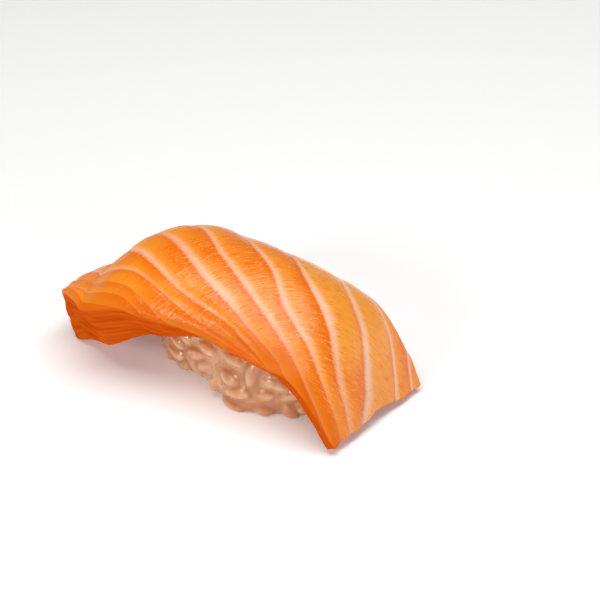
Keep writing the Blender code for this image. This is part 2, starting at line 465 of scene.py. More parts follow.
@dataclass(frozen=True)
class Drape:
    """How the flat slice lies over the rice."""

    sections: tuple[CrossSection, ...] = (
        CrossSection(0.00, -39.4, -7.5, 1.8, 9.4, 12.9, 1, 64),
        CrossSection(0.11, -31.9, -5.4, 7.4, 14.1, 13.6, 21, 65),
        CrossSection(0.28, -21.3, -3.3, 19.9, 15.2, 14.4, 53, 72),
        CrossSection(0.45, -7.7, -2.5, 23.3, 14.3, 15.4, 66, 84),
        CrossSection(0.62, 7.5, -1.2, 22.5, 16.6, 16.1, 61, 60),
        CrossSection(0.78, 21.4, -1.0, 17.1, 17.6, 16.3, 40, 27),
        CrossSection(0.90, 29.2, -2.8, 8.6, 16.4, 17.6, 17, 10),
        CrossSection(1.00, 33.8, -3.1, 0.3, 16.4, 17.7, 0, 0),
    )
    length: float = 92 * MM
    thick_end: float = 13.5 * MM
    thin_end: float = 2.0 * MM
    thinning: float = 1.07
    front_slant: float = 0.37
    front_slant_end: float = 0.62
    thick_end_lean: float = 6.6 * MM
    thin_end_bow: float = 1.5 * MM
    thin_end_wave: float = 0.45 * MM
    bow_power: int = 6
    lean_power: int = 8
    wave_rate: float = 7.0
    wave_start: float = 1.0
    slope_step: float = 0.005
    lowest: float = 0.35 * MM
    settle_softness: float = 0.8 * MM

    def along(self, name: str, share: np.ndarray) -> np.ndarray:
        """A value of the sections along the slice.

        Args:
            name: The CrossSection field.
            share: The place along the slice, from 0 to 1.

        Returns:
            The value at each place.
        """
        places = np.array([section.share for section in self.sections])
        values = np.array([getattr(section, name) for section in self.sections], float)
        return smooth_curve(places, values, share)

    def middle_line(self, share: np.ndarray) -> np.ndarray:
        """Points of the underside's middle line."""
        return np.stack([self.along(axis, share) for axis in "xyz"], axis=-1) * MM

    def thickness(self, share: np.ndarray) -> np.ndarray:
        """How thick the slice is, which falls from the thick end to the thin end."""
        return self.thick_end - (self.thick_end - self.thin_end) * np.clip(share, 0, 1) ** self.thinning

    def settled(self, points: np.ndarray) -> np.ndarray:
        """Points pressed up smoothly where they would come too low.

        Args:
            points: The points in metres.

        Returns:
            The points, all above the lowest height.
        """
        above = (points[..., 2] - self.lowest) / self.settle_softness
        eased = self.lowest + self.settle_softness * np.logaddexp(0, above)
        return np.concatenate([points[..., :2], eased[..., None]], axis=-1)

    def points(self, share: np.ndarray, across: np.ndarray, height: np.ndarray) -> np.ndarray:
        """Points of the draped slice.

        Args:
            share: The place along the slice, from 0 to 1.
            across: The place across it, from -1 at the front edge to 1 at the back edge.
            height: The place in its thickness, from 0 at the underside to 1 at the top.

        Returns:
            The points in metres.
        """
        wave = np.sin(self.wave_rate * across + self.wave_start)
        bow = self.thin_end_bow * (1 - across**2) + self.thin_end_wave * wave
        lean = self.thick_end_lean * (1 - height)
        shift = np.clip(share, 0, 1) ** self.bow_power * bow
        shift += np.clip(1 - share, 0, 1) ** self.lean_power * lean
        share = share - shift / self.length
        front = across < 0
        reach = np.abs(across)
        turned = np.sign(across)
        half_width = np.where(front, self.along("front", share), self.along("back", share)) * MM
        bend = np.where(front, self.along("front_bend", share), self.along("back_bend", share))
        bend = np.radians(np.maximum(bend, 0)) * reach
        chord = half_width * reach * np.sinc(bend / 2 / math.pi)
        slant = self.front_slant * np.sin(math.pi * np.clip(share / self.front_slant_end, 0, 1))
        slant = np.where(front, slant * (1 - height) * reach**4, 0) * self.thickness(share)
        step = self.slope_step
        forward = unit(self.middle_line(share + step) - self.middle_line(share - step))
        side = unit(np.array([0.0, 1.0, 0.0]) - forward * forward[..., 1:2])
        normal = np.cross(forward, side)
        sideways = turned * (chord * np.cos(bend / 2) + slant * np.cos(bend))
        upward = -chord * np.sin(bend / 2) - slant * np.sin(bend)
        facing = normal * np.cos(bend)[..., None] + side * (turned * np.sin(bend))[..., None]
        point = self.middle_line(share) + side * sideways[..., None] + normal * upward[..., None]
        return self.settled(point + facing * (self.thickness(share) * height)[..., None])


@dataclass(frozen=True)
class FatLine:
    """One fat line on the flat slice, in millimetres.

    At each of the marbling's six crossings, from the back edge to the front one, it is given by how far
    along the slice it lies, how wide it is and how pale. The last number is how far its edge frays.
    """

    places: Six
    widths: Six
    pales: Six
    fray: float


@dataclass(frozen=True)
class Marbling:
    """The fat lines between the muscle layers, and how they run through the slice's depth."""

    crossings: Six = (16.0, 8.0, 0.0, -8.0, -12.5, -15.5)
    lines: tuple[FatLine, ...] = (
        FatLine(
            (-59.3, -40.9, -20.2, 0.9, 12.5, 25.4),
            (0.25, 0.25, 0.25, 0.25, 0.25, 0.25),
            (0.03, 0.03, 0.03, 0.03, 0.04, 0.03),
            0.1,
        ),
        FatLine(
            (-57.9, -39.9, -19.9, 3.2, 22.9, 33.4),
            (1.22, 1.22, 1.22, 1.22, 0.31, 0.25),
            (0.20, 0.20, 0.20, 0.31, 0.04, 0.03),
            0.15,
        ),
        FatLine(
            (-41.9, -27.8, -8.7, 15.2, 30.3, 43.8),
            (0.26, 0.26, 0.26, 0.26, 0.25, 0.25),
            (0.06, 0.06, 0.06, 0.11, 0.05, 0.04),
            0.15,
        ),
        FatLine(
            (-14.1, -7.1, 3.9, 24.0, 45.3, 59.5),
            (1.01, 1.01, 1.01, 1.37, 0.39, 0.25),
            (0.39, 0.39, 0.41, 0.36, 0.05, 0.03),
            0.4,
        ),
        FatLine(
            (-8.1, 4.9, 18.4, 34.0, 53.8, 63.0),
            (0.99, 0.99, 1.09, 1.31, 1.42, 1.05),
            (0.48, 0.48, 0.49, 0.56, 0.08, 0.03),
            0.9,
        ),
        FatLine(
            (7.0, 18.2, 26.9, 48.2, 60.4, 70.9),
            (1.07, 1.07, 1.28, 1.89, 1.16, 0.75),
            (0.36, 0.36, 0.38, 0.78, 0.24, 0.06),
            1.0,
        ),
        FatLine(
            (12.6, 21.8, 39.0, 58.4, 71.1, 84.3),
            (0.84, 0.84, 0.95, 1.64, 1.22, 0.93),
            (0.49, 0.49, 0.52, 0.60, 0.26, 0.10),
            0.9,
        ),
        FatLine(
            (29.9, 35.6, 53.0, 68.6, 88.3, 102.5),
            (0.68, 0.68, 1.03, 2.04, 0.99, 0.81),
            (0.42, 0.42, 0.60, 0.58, 0.09, 0.04),
            0.8,
        ),
        FatLine(
            (42.7, 50.4, 65.9, 84.9, 105.0, 120.2),
            (0.32, 0.32, 2.09, 1.98, 1.44, 1.25),
            (0.20, 0.20, 0.88, 0.44, 0.24, 0.20),
            0.7,
        ),
        FatLine(
            (58.6, 67.5, 85.4, 98.5, 117.6, 135.6),
            (1.43, 1.66, 3.01, 2.86, 2.03, 1.77),
            (0.58, 0.69, 0.82, 0.44, 0.25, 0.21),
            0.8,
        ),
        FatLine(
            (65.7, 91.7, 110.8, 126.9, 143.0, 159.0),
            (0.97, 1.17, 1.17, 1.17, 1.17, 1.17),
            (0.67, 0.83, 0.83, 0.83, 0.72, 0.66),
            0.5,
        ),
    )
    first_gap: float = 20.0
    last_gap: float = 20.0
    depth_drift: float = 5.0
    full_gap: float = 4.2
    least_share: float = 0.35
    probe: float = 0.2
    least_rate: float = 0.03
    pale_layers: tuple[tuple[int, float], ...] = ((8, 80.0), (9, 110.0))
    pale_fade: float = 4.0

    def layer(self, flat: np.ndarray) -> np.ndarray:
        """The muscle layer at each point, a whole number on each fat line.

        Args:
            flat: The place along, across and below the top, in millimetres.

        Returns:
            The layer's number, with the share of the way to the next line.
        """
        order = np.array(self.crossings[::-1])
        along = flat[:, 0] - self.depth_drift * flat[:, 2]
        lines = [smooth_curve(order, np.array(line.places[::-1], float), flat[:, 1]) for line in self.lines]
        lines.insert(0, lines[0] - self.first_gap)
        lines.append(lines[-1] + self.last_gap)
        stack = np.stack(lines)
        index = np.clip((along > stack).sum(axis=0) - 1, 0, len(lines) - 2)
        columns = np.arange(len(along))
        low = stack[index, columns]
        high = stack[index + 1, columns]
        return index - 1 + (along - low) / (high - low)

    def gap(self, flat: np.ndarray, outward: np.ndarray) -> np.ndarray:
        """How far apart two lines are on the surface, in millimetres.

        Args:
            flat: The place along, across and below the top, in millimetres.
            outward: The surface's direction there, in the same axes.

        Returns:
            The distance from line to line, measured square to them.
        """
        here = self.layer(flat)
        steps = self.probe * np.eye(3)
        rate = np.stack([(self.layer(flat + step) - here) / self.probe for step in steps], axis=-1)
        rate -= outward * (rate * outward).sum(axis=1, keepdims=True)
        return 1 / np.maximum(np.linalg.norm(rate, axis=1), self.least_rate)

    def paleness(self, layer: np.ndarray, along: np.ndarray) -> np.ndarray:
        """How much paler the flesh is than in most layers, up to where each pale layer darkens.

        Args:
            layer: The layer's number at each point.
            along: The place along the slice, in millimetres.

        Returns:
            A number from 0 to 1 for each point.
        """
        paler = np.zeros(len(layer))
        for number, end in self.pale_layers:
            here = np.floor(layer) == number
            paler[here] = 1 - smooth_step(along[here], end - self.pale_fade, end + self.pale_fade)
        return paler

    def of_lines(self, name: str, layer: np.ndarray, across: np.ndarray) -> np.ndarray:
        """A value of the lines, blended from line to line and from crossing to crossing.

        Args:
            name: The FatLine field, with one value or one for each crossing.
            layer: The layer's number at each point.
            across: The place across the slice, in millimetres.

        Returns:
            The value at each point.
        """
        order = np.array(self.crossings[::-1])
        rows = [np.broadcast_to(getattr(line, name), len(order))[::-1] for line in self.lines]
        values = np.stack([np.interp(across, order, row) for row in rows])
        low = np.clip(np.floor(layer).astype(int), 0, len(rows) - 2)
        share = np.clip(layer - low, 0, 1)
        columns = np.arange(len(layer))
        return values[low, columns] * (1 - share) + values[low + 1, columns] * share


@dataclass(frozen=True)
class SalmonFlesh:
    """Wet raw salmon with pale, frayed fat lines, and cut sides and a front lip in a darker cut colour that
    is partly painted shade.

    Sizes and reaches are in millimetres on the flat slice, or times half a line's width. Levels are the
    values of a noise between which a mark comes or goes.
    """

    bright: Colour = (252, 148, 34)
    deep: Colour = (243, 116, 12)
    # The cut colours are partly the deeper colour of cut muscle and partly painted shade, for the sides and
    # front lip that turn down away from the light.
    shaded_cut_bright: Colour = (212, 89, 17)
    shaded_cut_deep: Colour = (197, 67, 9)
    light: Colour = (254, 163, 60)
    glow: Colour = (255, 178, 74)
    fleck: Colour = (255, 190, 92)
    fat: Colour = (255, 208, 182)
    groove: Colour = (238, 104, 12)
    fibre_turn: float = 38.0
    fibre_size: Size = (1.5, 0.15, 0.15)
    strand_size: Size = (3.0, 0.8, 0.8)
    stroke_size: Size = (2.6, 0.3, 0.3)
    speck_size: Size = (0.45, 0.3, 0.3)
    cloud_size: Size = (12.0, 7.0, 7.0)
    streak_size: Size = (16.0, 3.0, 0.9)
    line_sway: float = 0.8
    line_stray: float = 2.6
    crisp_stray: float = 0.3
    soft_reach: float = 1.7
    crisp_reach: Span = (-1.0, -0.2)
    hair_start: float = 0.5
    hair_reach: float = 0.9
    hair_levels: Span = (0.52, 0.68)
    hair_share: float = 0.6
    gap_levels: Span = (0.34, 0.48)
    gap_share: float = 0.4
    glow_start: float = 0.4
    glow_reach: float = 2.0
    glow_way: Span = (0.5, 0.95)
    glow_share: float = 0.35
    groove_start: float = 0.8
    groove_reach: float = 0.9
    groove_share: float = 0.55
    layer_shade: float = 0.5
    cloud_shade: float = 0.9
    shade_shift: float = -0.2
    shade_levels: Span = (0.2, 0.8)
    pale_share: float = 0.75
    fleck_strokes: Span = (0.5, 0.64)
    fleck_specks: Span = (0.45, 0.62)
    fleck_clouds: Span = (0.35, 0.6)
    fleck_shares: Span = (0.35, 0.9)
    wrinkle_strokes: Span = (0.36, 0.48)
    wrinkle_strands: Span = (0.42, 0.58)
    wrinkle_share: float = 0.8
    streak_levels: Span = (0.35, 0.65)
    shaded_side_share: float = 0.9
    stroke_depth: float = 0.12 * MM
    speck_depth: float = 0.06 * MM
    sheen_depth: float = 0.16 * MM
    wet_levels: Span = (0.3, 0.7)
    roughness: Span = (0.25, 0.38)
    specular: float = 0.0
    subsurface: float = 0.15
    subsurface_radius: Size = (3.2 * MM, 1.1 * MM, 0.4 * MM)
    coat: float = 0.9
    coat_roughness: float = 0.18

    def fat_line(self, nodes: FinishNodes, fibres: Socket, strands: Socket) -> tuple[Socket, Socket, Socket]:
        """How much shows of the fat line, of the glow behind it and of the groove before it.

        Args:
            nodes: The finish's nodes.
            fibres: The fine noise along the fibres.
            strands: The coarse noise along the fibres.

        Returns:
            The shares of the line, the glow and the groove.
        """
        layer = nodes.attribute("layer")
        gap = nodes.attribute("gap")
        half = nodes.attribute("half_line")
        pale = nodes.attribute("pale")
        fray = nodes.attribute("fray")
        way = nodes.sum("FRACT", layer)
        behind = nodes.times(way, gap)
        ahead = nodes.sum("SUBTRACT", gap, behind)
        past = nodes.times(nodes.sum("SUBTRACT", layer, nodes.sum("ROUND", layer)), gap)

        sway = nodes.times(nodes.centred(strands, self.line_sway), half)
        stray = nodes.times(nodes.times(nodes.centred(fibres, self.line_stray), half), fray)
        soft_place = nodes.sum("ADD", past, nodes.sum("ADD", sway, stray))
        crisp_place = nodes.sum("ADD", past, nodes.sum("MULTIPLY_ADD", stray, self.crisp_stray, sway))
        soft_side = nodes.rise(soft_place, 0.0, nodes.times(half, self.soft_reach), 1.0, 0.0)
        crisp_start, crisp_end = [nodes.times(half, reach) for reach in self.crisp_reach]
        crisp_side = nodes.rise(crisp_place, crisp_start, crisp_end)
        line = nodes.times(soft_side, crisp_side)

        hair_end = nodes.sum("ADD", half, self.hair_reach)
        near = nodes.rise(past, nodes.times(half, self.hair_start), hair_end, 1.0, 0.0)
        near = nodes.times(nodes.times(near, crisp_side), fray)
        hairs = nodes.times(nodes.rise(fibres, *self.hair_levels, 0.0, self.hair_share), near)
        gaps = nodes.times(nodes.rise(fibres, *self.gap_levels, self.gap_share, 0.0), fray)
        line = nodes.times(line, nodes.sum("SUBTRACT", 1.0, gaps))
        line = nodes.sum("MAXIMUM", line, hairs)

        glow_end = nodes.sum("ADD", half, self.glow_reach)
        glow = nodes.rise(behind, nodes.times(half, self.glow_start), glow_end, self.glow_share, 0.0)
        glow = nodes.times(glow, nodes.rise(way, *self.glow_way, 1.0, 0.0))
        groove_end = nodes.sum("ADD", half, self.groove_reach)
        groove = nodes.rise(ahead, nodes.times(half, self.groove_start), groove_end, self.groove_share, 0.0)
        return nodes.times(line, pale), nodes.times(glow, pale), nodes.times(groove, pale)

    def muscle(
        self,
        nodes: FinishNodes,
        strands: Socket,
        strokes: Socket,
        specks: Socket,
        glow: Socket,
        groove: Socket,
    ) -> Socket:
        """The colour of the muscle layers, with their flecks and wrinkles, and of the cut sides and lip,
        whose darker colour is partly painted shade.

        Args:
            nodes: The finish's nodes.
            strands: The coarse noise along the fibres.
            strokes: The noise that flecks and wrinkles follow.
            specks: The short noise that breaks the flecks up.
            glow: How much of the glow behind a fat line shows.
            groove: How much of the groove before a fat line shows.

        Returns:
            The colour's socket.
        """
        flat = nodes.attribute("flat", "Vector")
        torn = nodes.attribute("torn")
        way = nodes.sum("FRACT", nodes.attribute("layer"))
        clouds = nodes.mottle(nodes.stretched(flat, self.cloud_size), 1.0)
        streaks = nodes.mottle(nodes.stretched(flat, self.streak_size))
        cloud_shade = nodes.sum("MULTIPLY_ADD", clouds, self.cloud_shade, self.shade_shift)
        shade = nodes.sum("MULTIPLY_ADD", way, self.layer_shade, cloud_shade)
        colour = nodes.blend(nodes.rise(shade, *self.shade_levels), self.bright, self.deep)
        paler = nodes.times(nodes.attribute("paleness"), self.pale_share)
        colour = nodes.blend(paler, colour, self.light)
        colour = nodes.blend(groove, colour, self.groove)
        colour = nodes.blend(glow, colour, self.glow)

        flecks = nodes.times(nodes.rise(strokes, *self.fleck_strokes), nodes.rise(specks, *self.fleck_specks))
        flecks = nodes.times(flecks, nodes.rise(clouds, *self.fleck_clouds, *self.fleck_shares))
        colour = nodes.blend(nodes.times(flecks, torn), colour, self.fleck)
        wrinkles = nodes.rise(strokes, *self.wrinkle_strokes, self.wrinkle_share, 0.0)
        wrinkles = nodes.times(wrinkles, nodes.rise(strands, *self.wrinkle_strands))
        colour = nodes.blend(nodes.times(wrinkles, torn), colour, self.groove)

        # Partly painted shade: the cut sides and part of the front lip take the darker cut colour.
        cut = nodes.blend(nodes.rise(streaks, *self.streak_levels), self.shaded_cut_deep, self.shaded_cut_bright)
        return nodes.blend(nodes.times(nodes.attribute("side"), self.shaded_side_share), colour, cut)

    def material(self) -> bpy.types.Material:
        """The finish as a material, which reads what the slice keeps for each point.

        Returns:
            The material.
        """
        nodes = FinishNodes(Slot.SALMON.value)
        flat = nodes.attribute("flat", "Vector")
        torn = nodes.attribute("torn")
        fibres = nodes.mottle(nodes.stretched(flat, self.fibre_size, self.fibre_turn), 2.0, 0.6)
        strands = nodes.mottle(nodes.stretched(flat, self.strand_size, self.fibre_turn), 2.0, 0.6)
        strokes = nodes.mottle(nodes.stretched(flat, self.stroke_size, self.fibre_turn), 2.0, 0.55)
        specks = nodes.mottle(nodes.stretched(flat, self.speck_size, self.fibre_turn), 1.0)
        line, glow, groove = self.fat_line(nodes, fibres, strands)
        muscle = self.muscle(nodes, strands, strokes, specks, glow, groove)
        bumped = nodes.bump(specks, self.speck_depth, torn, nodes.bump(strokes, self.stroke_depth, torn))
        nodes.set(
            Base_Color=nodes.blend(line, muscle, self.fat),
            Roughness=nodes.rise(strands, *self.wet_levels, *self.roughness),
            Specular_IOR_Level=self.specular,
            Normal=bumped,
            Subsurface_Weight=self.subsurface,
            Subsurface_Radius=self.subsurface_radius,
            Subsurface_Scale=1.0,
            Coat_Weight=nodes.times(nodes.attribute("shine"), self.coat),
            Coat_Roughness=self.coat_roughness,
            Coat_Normal=nodes.bump(strands, self.sheen_depth, 1.0, bumped),
        )
        return nodes.material


@dataclass(frozen=True)
class CookedRice:
    """Moist, translucent cooked rice, with pattern sizes in millimetres on each grain. Its tan colours hold
    painted shade and a painted orange cast from the slice above, as well as the rice's own tone.
    """

    # The rice's tan colours were matched to rice in the slice's shade, so they hold painted shade and a
    # painted orange cast from the slice as well as the rice's own tone.
    pale: Colour = (226, 168, 114)
    warm: Colour = (211, 140, 82)
    # Painted shade for the creases and the foot, and a painted highlight for the grains' crowns:
    crease_shade: Colour = (186, 103, 48)
    crown: Colour = (239, 198, 154)
    cloud_size: Size = (2.2, 1.6, 1.6)
    fine_size: Size = (0.9, 0.3, 0.3)
    pore_size: Size = (1.3, 0.9, 0.9)
    cloud_shade: float = 0.8
    tone_shade: float = 0.6
    shade_shift: float = -0.2
    shade_levels: Span = (0.2, 0.8)
    crown_depth: float = -0.7
    crown_highlight_share: float = 0.6
    crease_shade_share: float = 0.7
    fine_depth: float = 0.05 * MM
    pore_depth: float = 0.12 * MM
    wet_levels: Span = (0.3, 0.7)
    roughness: Span = (0.24, 0.4)
    specular: float = 0.4
    subsurface: float = 0.9
    subsurface_radius: Size = (3.0 * MM, 2.3 * MM, 1.8 * MM)
    coat: float = 1.0
    coat_roughness: float = 0.07
    coat_ior: float = 1.65

    def material(self) -> bpy.types.Material:
        """The finish as a material, which reads each grain's tone, its own places and its creases, and paints
        shade into the creases and highlights onto the grains' crowns.

        Returns:
            The material.
        """
        nodes = FinishNodes(Slot.RICE.value)
        own = nodes.attribute("own_place", "Vector")
        crease = nodes.attribute("crease")
        cloud = nodes.mottle(nodes.stretched(own, self.cloud_size))
        fine = nodes.mottle(nodes.stretched(own, self.fine_size))
        pores = nodes.mottle(nodes.stretched(own, self.pore_size), 1.0)
        tone_shade = nodes.sum("MULTIPLY_ADD", nodes.attribute("tone"), self.tone_shade, self.shade_shift)
        shade = nodes.sum("MULTIPLY_ADD", cloud, self.cloud_shade, tone_shade)
        colour = nodes.blend(nodes.rise(shade, *self.shade_levels), self.warm, self.pale)
        # Painted highlight on the crowns, then painted shade in the creases and near the foot.
        lit_crowns = nodes.rise(crease, self.crown_depth, 0.0, self.crown_highlight_share, 0.0)
        colour = nodes.blend(lit_crowns, colour, self.crown)
        colour = nodes.blend(nodes.rise(crease, 0.0, 1.0, 0.0, self.crease_shade_share), colour, self.crease_shade)
        nodes.set(
            Base_Color=colour,
            Roughness=nodes.rise(cloud, *self.wet_levels, *self.roughness),
            Specular_IOR_Level=self.specular,
            Normal=nodes.bump(fine, self.fine_depth),
            Subsurface_Weight=self.subsurface,
            Subsurface_Radius=self.subsurface_radius,
            Subsurface_Scale=1.0,
            Coat_Weight=self.coat,
            Coat_Roughness=self.coat_roughness,
            Coat_IOR=self.coat_ior,
            Coat_Normal=nodes.bump(pores, self.pore_depth),
        )
        return nodes.material


@dataclass
class SalmonSlice:
    """The slice of salmon, with the relief of its muscle layers, in millimetres on the flat slice.

    Spans along and across the slice say where an effect comes in. The lip is the rounded front edge.
    """

    drape: Drape = field(default_factory=Drape)
    marbling: Marbling = field(default_factory=Marbling)
    finish: SalmonFlesh = field(default_factory=SalmonFlesh)
    flat_size: Size = (92.0, 32.0, 8.0)
    edge_radius: float = 0.8
    cells: tuple[int, int, int] = (280, 120, 22)
    layer_crown: float = 0.16
    groove_depth: float = 0.13
    groove_width: float = 0.45
    swell: float = 0.28
    swell_size: float = 9.0
    swell_across: Span = (-16.0, -9.0)
    front_swell: float = 0.3
    dimple: float = 0.05
    dimple_size: float = 2.2
    ragged: float = 0.4
    ragged_size: float = 2.8
    ragged_along: Span = (89.0, 91.5)
    ragged_across: Span = (-14.5, -11.5)
    swell_seed: float = 3.1
    dimple_seed: float = 7.7
    ragged_seed: float = 5.3
    topside_turn: Span = (0.2, 0.9)
    lip_across: Span = (-15.5, -10.5)
    torn_along: Span = (26.0, 44.0)
    least_torn: float = 0.3
    least_shine: float = 0.12
    # lip_top: how much of the lip's top keeps the flesh colour rather than the darker cut colour, which is
    # partly painted shade.
    lip_top: float = 0.45
    side_line: float = 0.3
    side_pale: float = 0.1

    def build(self) -> bpy.types.Object:
        """Makes the slice.

        Returns:
            The mesh object, with what the finish reads kept for each point.
        """
        box, squares = box_shell(self.cells)
        half_size = np.array(self.flat_size) / 2
        flat = box * half_size
        inner = np.clip(flat, self.edge_radius - half_size, half_size - self.edge_radius)
        outward = flat - inner
        reach = np.maximum(np.linalg.norm(outward, axis=1, keepdims=True), TINY)
        rounded = (inner + outward / reach * np.minimum(reach, self.edge_radius)) / half_size
        share = (rounded[:, 0] + 1) / 2
        across = rounded[:, 1]
        height = (rounded[:, 2] + 1) / 2
        thickness = self.drape.thickness(share) / MM
        half_width = np.where(across < 0, self.drape.along("front", share), self.drape.along("back", share))
        mark = np.stack([share * self.flat_size[0], across * half_width, (1 - height) * thickness], axis=-1)
        facing = unit(outward) * np.array([1, 1, -1])
        piece = mesh_object("salmon_slice", self.drape.points(share, across, height), squares)
        layer = self.marbling.layer(mark)
        gap = self.marbling.gap(mark, facing)
        half_line = self.half_line(layer, gap, mark[:, 1])
        self.raise_relief(piece.data, mark, layer, gap, half_line)
        topside = smooth_step(-facing[:, 2], *self.topside_turn)
        off_lip = smooth_step(mark[:, 1], *self.lip_across)
        torn = off_lip * at_least(self.least_torn, smooth_step(mark[:, 0], *self.torn_along))
        pale = self.marbling.of_lines("pales", layer, mark[:, 1])
        kept = {
            "flat": mark,
            "layer": layer,
            "gap": gap,
            "half_line": half_line * at_least(self.side_line, topside),
            "pale": pale * at_least(self.side_pale, topside),
            "fray": self.marbling.of_lines("fray", layer, mark[:, 1]) * topside,
            # side: where the darker cut colour goes, on the cut sides and part of the front lip; partly
            # painted shade.
            "side": 1 - topside * at_least(self.lip_top, off_lip),
            "torn": torn,
            "paleness": self.marbling.paleness(layer, mark[:, 0]),
            "shine": topside * at_least(self.least_shine, torn),
        }
        for name, values in kept.items():
            write_attribute(piece, name, values)
        return piece

    def half_line(self, layer: np.ndarray, gap: np.ndarray, across: np.ndarray) -> np.ndarray:
        """Half the width of the nearest fat line, less where the lines crowd together.

        Args:
            layer: The layer's number at each point.
            gap: The distance from line to line.
            across: The place across the slice, in millimetres.

        Returns:
            The half width in millimetres.
        """
        room = np.clip(gap / self.marbling.full_gap, self.marbling.least_share, 1)
        return self.marbling.of_lines("widths", layer, across) / 2 * room

    def raise_relief(
        self,
        mesh: bpy.types.Mesh,
        mark: np.ndarray,
        layer: np.ndarray,
        gap: np.ndarray,
        half_line: np.ndarray,
    ) -> None:
        """Raises the muscle layers between their grooves, and makes the cut uneven.

        Args:
            mesh: The slice's mesh.
            mark: The place along, across and below the top, in millimetres.
            layer: The layer's number at each point.
            gap: The distance from line to line, in millimetres.
            half_line: Half the line's width, in millimetres.
        """
        way = layer - np.floor(layer)
        room = np.clip(gap / self.marbling.full_gap, 0, 1)
        crown = 4 * way * (1 - way) * self.layer_crown
        offset = (layer - np.round(layer)) * gap + half_line
        groove = np.exp(-((offset / self.groove_width) ** 2)) * self.groove_depth
        swell = ripple(mark, self.swell_size, self.swell_seed) * self.swell
        swell *= at_least(self.front_swell, smooth_step(mark[:, 1], *self.swell_across))
        dimple = ripple(mark, self.dimple_size, self.dimple_seed) * self.dimple
        near_end = smooth_step(mark[:, 0], *self.ragged_along) * smooth_step(mark[:, 1], *self.ragged_across)
        ragged = ripple(mark, self.ragged_size, self.ragged_seed) * self.ragged * near_end
        lift = (room * (crown - groove) + swell + dimple + ragged) * MM
        normals = read_vectors(mesh.vertex_normals, "vector")
        move_points(mesh, read_vectors(mesh.vertices, "co") + normals * lift[:, None])

    def dress(self, piece: bpy.types.Object) -> None:
        """Gives the slice its finish and its place."""
        settle_piece(piece, self.finish.material(), CadNode.SALMON)


@dataclass(frozen=True)
class Push:
    """Where fingers pushed the rice in, or out where the depth is negative, in millimetres."""

    place: tuple[float, float, float]
    reach: float
    depth: float

    def at(self, point: Vector) -> float:
        """How far it pushes in at a point, in metres."""
        distance = (point / MM - Vector(self.place)).length
        return self.depth * MM * math.exp(-((distance / self.reach) ** 2))


@dataclass(frozen=True)
class RiceForm:
    """The outer form of the pressed rice: a rounded oblong, widest a little above its foot."""

    middle: Vector = field(default_factory=lambda: Vector((1.2, -1.3, 6.5)) * MM)
    half_length: float = 26.0 * MM
    half_width: float = 15.2 * MM
    rise: float = 17.2 * MM
    drop: float = 11.0 * MM
    plan_power: float = 2.3
    side_power: float = 2.6
    top_level: float = 0.999
    pushes: tuple[Push, ...] = (
        Push((-9.0, -14.5, 2.0), 8.0, 2.6),
        Push((6.0, -16.0, 2.0), 7.0, -2.2),
    )

    def point(self, turn: float, height: float) -> tuple[Vector, Vector]:
        """A point of the form.

        Args:
            turn: The turn about it.
            height: How high the point lies, in metres.

        Returns:
            The point and its outward direction.
        """
        above = height - self.middle.z
        extent = self.rise if above > 0 else self.drop
        level = min(abs(above / extent), self.top_level)
        shrink = (1 - level**self.side_power) ** (1 / self.side_power)
        power = 2 / self.plan_power
        x = math.copysign(abs(math.cos(turn)) ** power, math.cos(turn)) * shrink
        y = math.copysign(abs(math.sin(turn)) ** power, math.sin(turn)) * shrink
        place = Vector((self.half_length * x, self.half_width * y, above)) + self.middle
        plan = (abs(x) ** self.plan_power + abs(y) ** self.plan_power) ** (1 / self.plan_power)
        flat = plan ** (self.side_power - self.plan_power)
        normal = Vector(
            (
                flat * math.copysign(abs(x) ** (self.plan_power - 1), x) / self.half_length,
                flat * math.copysign(abs(y) ** (self.plan_power - 1), y) / self.half_width,
                math.copysign(level ** (self.side_power - 1), above) / extent,
            )
        )
        normal.normalize()
        return place - normal * sum(push.at(place) for push in self.pushes), normal

    def holds(self, x: float, y: float, inset: float) -> bool:
        """Whether a point of the foot lies well inside the form's outline.

        Args:
            x: The point's place along the slice, in metres.
            y: Its place across it.
            inset: How far inside the outline it has to be.

        Returns:
            True where it is.
        """
        edge_x = (x - self.middle.x) / (self.half_length - inset)
        edge_y = (y - self.middle.y) / (self.half_width - inset)
        return abs(edge_x) ** self.plan_power + abs(edge_y) ** self.plan_power < 1


